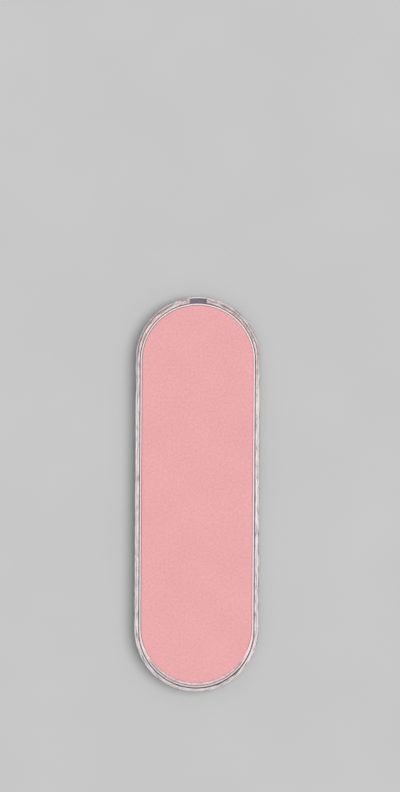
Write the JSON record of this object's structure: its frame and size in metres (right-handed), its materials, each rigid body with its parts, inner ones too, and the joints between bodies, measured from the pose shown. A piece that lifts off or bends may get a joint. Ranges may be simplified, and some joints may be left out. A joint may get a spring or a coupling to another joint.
{
  "type": "phone finger strap",
  "caption": "Flat stick-on phone grip: a clear tray holds a flush pink strap that slides from its notched end and bows up into a finger loop and stand.",
  "frame": {"origin": "middle of the adhesive face, which lies on the phone's back", "axes": "+Z out through the strap's pink face, +Y along the strap to its sliding, notched end, +X across it"},
  "size_m": [0.0256, 0.0812, 0.0041],
  "materials": {
    "clear_tray": "clear, hazy, glossy",
    "clear_band": "clear, satin",
    "pink_face": "fine matte grain",
    "slider": "smooth, white",
    "foam_tape": "dark foam"
  },
  "bodies": {
    "base": {"adhesive_pad": "foam_tape", "base_tray": "clear_tray", "track_cover": "clear_tray", "strap_band_fixed_end": "clear_band", "strap_face_fixed_end": "pink_face"},
    "stretch_01": {"strap_band_01": "clear_band", "strap_face_01": "pink_face"},
    "stretch_02": {"strap_band_02": "clear_band", "strap_face_02": "pink_face"},
    "stretch_03": {"strap_band_03": "clear_band", "strap_face_03": "pink_face"},
    "stretch_04": {"strap_band_04": "clear_band", "strap_face_04": "pink_face"},
    "stretch_05": {"strap_band_05": "clear_band", "strap_face_05": "pink_face"},
    "stretch_06": {"strap_band_06": "clear_band", "strap_face_06": "pink_face"},
    "stretch_07": {"strap_band_07": "clear_band", "strap_face_07": "pink_face"},
    "stretch_08": {"strap_band_08": "clear_band", "strap_face_08": "pink_face"},
    "stretch_09": {"strap_band_09": "clear_band", "strap_face_09": "pink_face"},
    "stretch_10": {"strap_band_10": "clear_band", "strap_face_10": "pink_face"},
    "stretch_11": {"strap_band_11": "clear_band", "strap_face_11": "pink_face"},
    "stretch_12": {"strap_band_12": "clear_band", "strap_face_12": "pink_face"},
    "stretch_13": {"strap_band_13": "clear_band", "strap_face_13": "pink_face"},
    "stretch_14": {"strap_band_14": "clear_band", "strap_face_14": "pink_face"},
    "stretch_15": {"strap_band_15": "clear_band", "strap_face_15": "pink_face"},
    "stretch_16": {"strap_band_16": "clear_band", "strap_face_16": "pink_face"},
    "stretch_17": {"strap_band_17": "clear_band", "strap_face_17": "pink_face"},
    "stretch_18": {"strap_band_18": "clear_band", "strap_face_18": "pink_face"},
    "stretch_19": {"strap_band_19": "clear_band", "strap_face_19": "pink_face"},
    "stretch_20": {"strap_band_20": "clear_band", "strap_face_20": "pink_face"},
    "stretch_21": {"strap_band_21": "clear_band", "strap_face_21": "pink_face"},
    "stretch_22": {"strap_band_22": "clear_band", "strap_face_22": "pink_face"},
    "slider": {"strap_slider": "slider", "strap_band_sliding_end": "clear_band", "strap_face_sliding_end": "pink_face"}
  },
  "joints": [
    {"name": "strap_bow", "type": "hinge", "parent": "base", "child": "stretch_01", "pos_m": [0, -0.02773, 0.00405], "axis": [1, 0, 0], "range_deg": [0, 9.39]},
    {"name": "strap_bend_01", "type": "hinge", "parent": "stretch_01", "child": "stretch_02", "pos_m": [0, -0.02523, 0.00405], "axis": [1, 0, 0], "range_deg": [0, 18.03]},
    {"name": "strap_bend_02", "type": "hinge", "parent": "stretch_02", "child": "stretch_03", "pos_m": [0, -0.02273, 0.00405], "axis": [1, 0, 0], "range_deg": [0, 15.81]},
    {"name": "strap_bend_03", "type": "hinge", "parent": "stretch_03", "child": "stretch_04", "pos_m": [0, -0.02023, 0.00405], "axis": [1, 0, 0], "range_deg": [0, 12.31]},
    {"name": "strap_bend_04", "type": "hinge", "parent": "stretch_04", "child": "stretch_05", "pos_m": [0, -0.01774, 0.00405], "axis": [1, 0, 0], "range_deg": [0, 7.81]},
    {"name": "strap_bend_05", "type": "hinge", "parent": "stretch_05", "child": "stretch_06", "pos_m": [0, -0.01524, 0.00405], "axis": [1, 0, 0], "range_deg": [0, 2.68]},
    {"name": "strap_bend_06", "type": "hinge", "parent": "stretch_06", "child": "stretch_07", "pos_m": [0, -0.01274, 0.00275], "axis": [1, 0, 0], "range_deg": [-2.68, 0]},
    {"name": "strap_bend_07", "type": "hinge", "parent": "stretch_07", "child": "stretch_08", "pos_m": [0, -0.01024, 0.00275], "axis": [1, 0, 0], "range_deg": [-7.81, 0]},
    {"name": "strap_bend_08", "type": "hinge", "parent": "stretch_08", "child": "stretch_09", "pos_m": [0, -0.00774, 0.00275], "axis": [1, 0, 0], "range_deg": [-12.31, 0]},
    {"name": "strap_bend_09", "type": "hinge", "parent": "stretch_09", "child": "stretch_10", "pos_m": [0, -0.00524, 0.00275], "axis": [1, 0, 0], "range_deg": [-15.81, 0]},
    {"name": "strap_bend_10", "type": "hinge", "parent": "stretch_10", "child": "stretch_11", "pos_m": [0, -0.00274, 0.00275], "axis": [1, 0, 0], "range_deg": [-18.03, 0]},
    {"name": "strap_bend_11", "type": "hinge", "parent": "stretch_11", "child": "stretch_12", "pos_m": [0, -0.00024, 0.00275], "axis": [1, 0, 0], "range_deg": [-18.8, 0]},
    {"name": "strap_bend_12", "type": "hinge", "parent": "stretch_12", "child": "stretch_13", "pos_m": [0, 0.00225, 0.00275], "axis": [1, 0, 0], "range_deg": [-18.03, 0]},
    {"name": "strap_bend_13", "type": "hinge", "parent": "stretch_13", "child": "stretch_14", "pos_m": [0, 0.00475, 0.00275], "axis": [1, 0, 0], "range_deg": [-15.81, 0]},
    {"name": "strap_bend_14", "type": "hinge", "parent": "stretch_14", "child": "stretch_15", "pos_m": [0, 0.00725, 0.00275], "axis": [1, 0, 0], "range_deg": [-12.31, 0]},
    {"name": "strap_bend_15", "type": "hinge", "parent": "stretch_15", "child": "stretch_16", "pos_m": [0, 0.00975, 0.00275], "axis": [1, 0, 0], "range_deg": [-7.81, 0]},
    {"name": "strap_bend_16", "type": "hinge", "parent": "stretch_16", "child": "stretch_17", "pos_m": [0, 0.01225, 0.00275], "axis": [1, 0, 0], "range_deg": [-2.68, 0]},
    {"name": "strap_bend_17", "type": "hinge", "parent": "stretch_17", "child": "stretch_18", "pos_m": [0, 0.01475, 0.00405], "axis": [1, 0, 0], "range_deg": [0, 2.68]},
    {"name": "strap_bend_18", "type": "hinge", "parent": "stretch_18", "child": "stretch_19", "pos_m": [0, 0.01725, 0.00405], "axis": [1, 0, 0], "range_deg": [0, 7.81]},
    {"name": "strap_bend_19", "type": "hinge", "parent": "stretch_19", "child": "stretch_20", "pos_m": [0, 0.01974, 0.00405], "axis": [1, 0, 0], "range_deg": [0, 12.31]},
    {"name": "strap_bend_20", "type": "hinge", "parent": "stretch_20", "child": "stretch_21", "pos_m": [0, 0.02224, 0.00405], "axis": [1, 0, 0], "range_deg": [0, 15.81]},
    {"name": "strap_bend_21", "type": "hinge", "parent": "stretch_21", "child": "stretch_22", "pos_m": [0, 0.02474, 0.00405], "axis": [1, 0, 0], "range_deg": [0, 18.03]},
    {"name": "slider_level", "type": "hinge", "parent": "stretch_22", "child": "slider", "pos_m": [0, 0.02724, 0.00405], "axis": [1, 0, 0], "range_deg": [0, 9.4]}
  ],
  "couplings": [
    {"joint": "strap_bend_01", "follows": "strap_bow", "ratio": 1.919},
    {"joint": "strap_bend_02", "follows": "strap_bow", "ratio": 1.6825},
    {"joint": "strap_bend_03", "follows": "strap_bow", "ratio": 1.3097},
    {"joint": "strap_bend_04", "follows": "strap_bow", "ratio": 0.83083},
    {"joint": "strap_bend_05", "follows": "strap_bow", "ratio": 0.28463},
    {"joint": "strap_bend_06", "follows": "strap_bow", "ratio": -0.28463},
    {"joint": "strap_bend_07", "follows": "strap_bow", "ratio": -0.83083},
    {"joint": "strap_bend_08", "follows": "strap_bow", "ratio": -1.3097},
    {"joint": "strap_bend_09", "follows": "strap_bow", "ratio": -1.6825},
    {"joint": "strap_bend_10", "follows": "strap_bow", "ratio": -1.919},
    {"joint": "strap_bend_11", "follows": "strap_bow", "ratio": -2},
    {"joint": "strap_bend_12", "follows": "strap_bow", "ratio": -1.919},
    {"joint": "strap_bend_13", "follows": "strap_bow", "ratio": -1.6825},
    {"joint": "strap_bend_14", "follows": "strap_bow", "ratio": -1.3097},
    {"joint": "strap_bend_15", "follows": "strap_bow", "ratio": -0.83083},
    {"joint": "strap_bend_16", "follows": "strap_bow", "ratio": -0.28463},
    {"joint": "strap_bend_17", "follows": "strap_bow", "ratio": 0.28463},
    {"joint": "strap_bend_18", "follows": "strap_bow", "ratio": 0.83083},
    {"joint": "strap_bend_19", "follows": "strap_bow", "ratio": 1.3097},
    {"joint": "strap_bend_20", "follows": "strap_bow", "ratio": 1.6825},
    {"joint": "strap_bend_21", "follows": "strap_bow", "ratio": 1.919},
    {"joint": "slider_level", "follows": "strap_bow", "ratio": 1}
  ]
}
